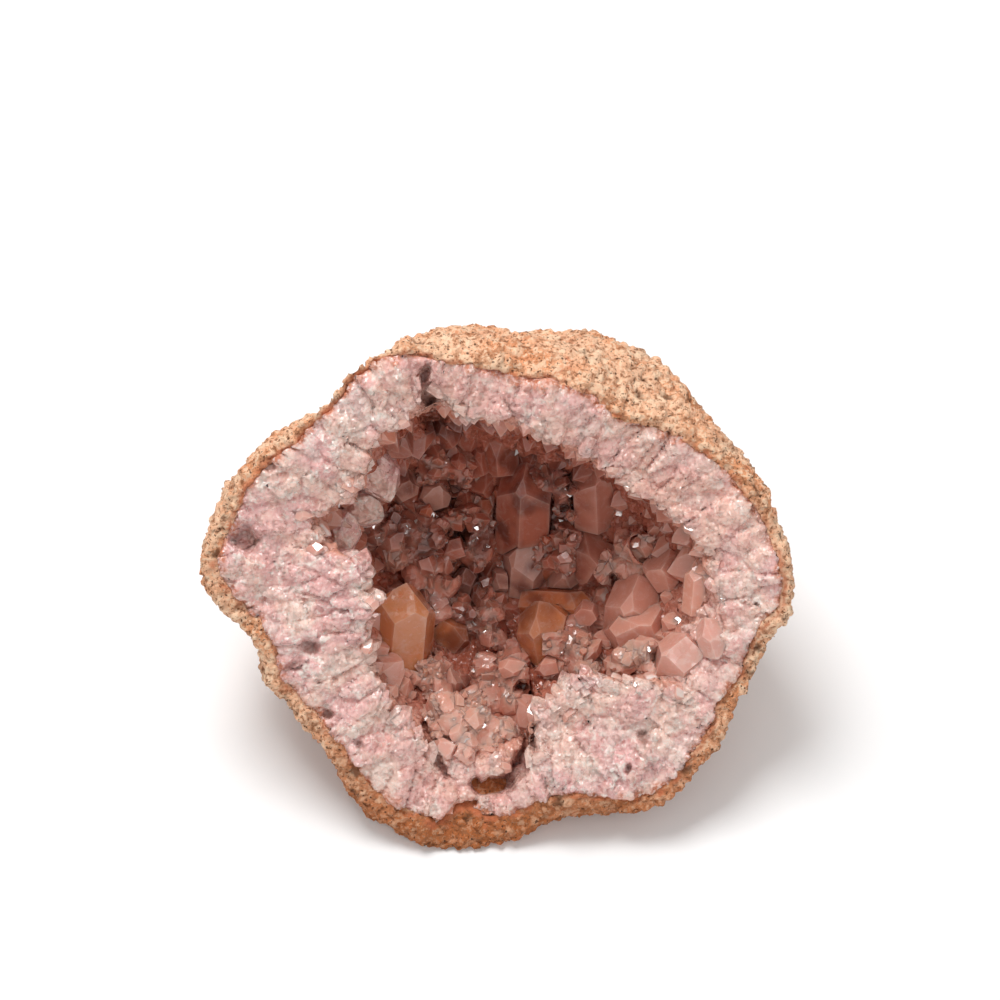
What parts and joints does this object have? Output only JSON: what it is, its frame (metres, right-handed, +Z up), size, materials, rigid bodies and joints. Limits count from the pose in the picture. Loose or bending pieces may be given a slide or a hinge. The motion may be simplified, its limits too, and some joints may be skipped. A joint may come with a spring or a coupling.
{
  "type": "geode half",
  "caption": "Half of a pink quartz geode: rough tan rind, pale crystalline quartz wall and an open cavity lined with pointed crystals, resting on its flattened underside.",
  "frame": {"origin": "centre of the bounding box's underside, on the flat resting patch", "axes": "+X along the longest side, across the broken face; +Z up; the broken face looks towards -Y and upwards"},
  "size_m": [0.12, 0.0932, 0.0879],
  "materials": {
    "rind": "rough granular sandy stone, light tan with ochre and rust-red grains and dark specks",
    "quartz_wall": "broken massive quartz, whitish pink to lilac, milky, with radiating grain and glinting facets",
    "pink_crystal": "translucent rose-brown quartz crystal with glossy faces",
    "clear_crystal": "pale, nearly clear quartz crystal with glossy faces",
    "amber_crystal": "iron-stained amber to orange quartz crystal with glossy faces"
  },
  "bodies": {
    "root": {"rind": "rind", "quartz_wall": "quartz_wall", "amber_point_left": "amber_crystal", "amber_point_centre": "amber_crystal", "golden_prism": "amber_crystal", "orange_blade": "amber_crystal", "orange_mound_point": "amber_crystal", "bright_point_centre": "clear_crystal", "clear_tablet": "clear_crystal", "clear_point_centre": "clear_crystal", "clear_point_left": "clear_crystal", "brown_column_back": "pink_crystal", "brown_column_right": "pink_crystal", "blunt_block_right": "pink_crystal", "pink_block_right": "pink_crystal", "facet_point_right": "pink_crystal", "pink_block_low": "pink_crystal", "slim_pillar": "pink_crystal", "grey_point_right": "clear_crystal", "grey_point_rim": "clear_crystal", "hanging_point_left": "quartz_wall", "ledge_point_left": "quartz_wall", "side_point_left": "quartz_wall", "bright_point_back": "clear_crystal", "bright_point_roof": "clear_crystal", "bright_point_floor": "clear_crystal", "pale_point_front": "clear_crystal", "druse_floor_front": "pink_crystal", "druse_floor_middle": "pink_crystal", "druse_floor_left": "pink_crystal", "druse_centre": "pink_crystal", "druse_centre_left": "pink_crystal", "druse_mound_right": "pink_crystal", "druse_right_low": "clear_crystal", "druse_right_high": "pink_crystal", "druse_back_left": "pink_crystal", "druse_back_centre": "pink_crystal", "druse_back_right": "pink_crystal", "druse_upper_left": "pink_crystal", "druse_upper_right": "pink_crystal", "druse_left_wall": "pink_crystal"}
  },
  "joints": []
}
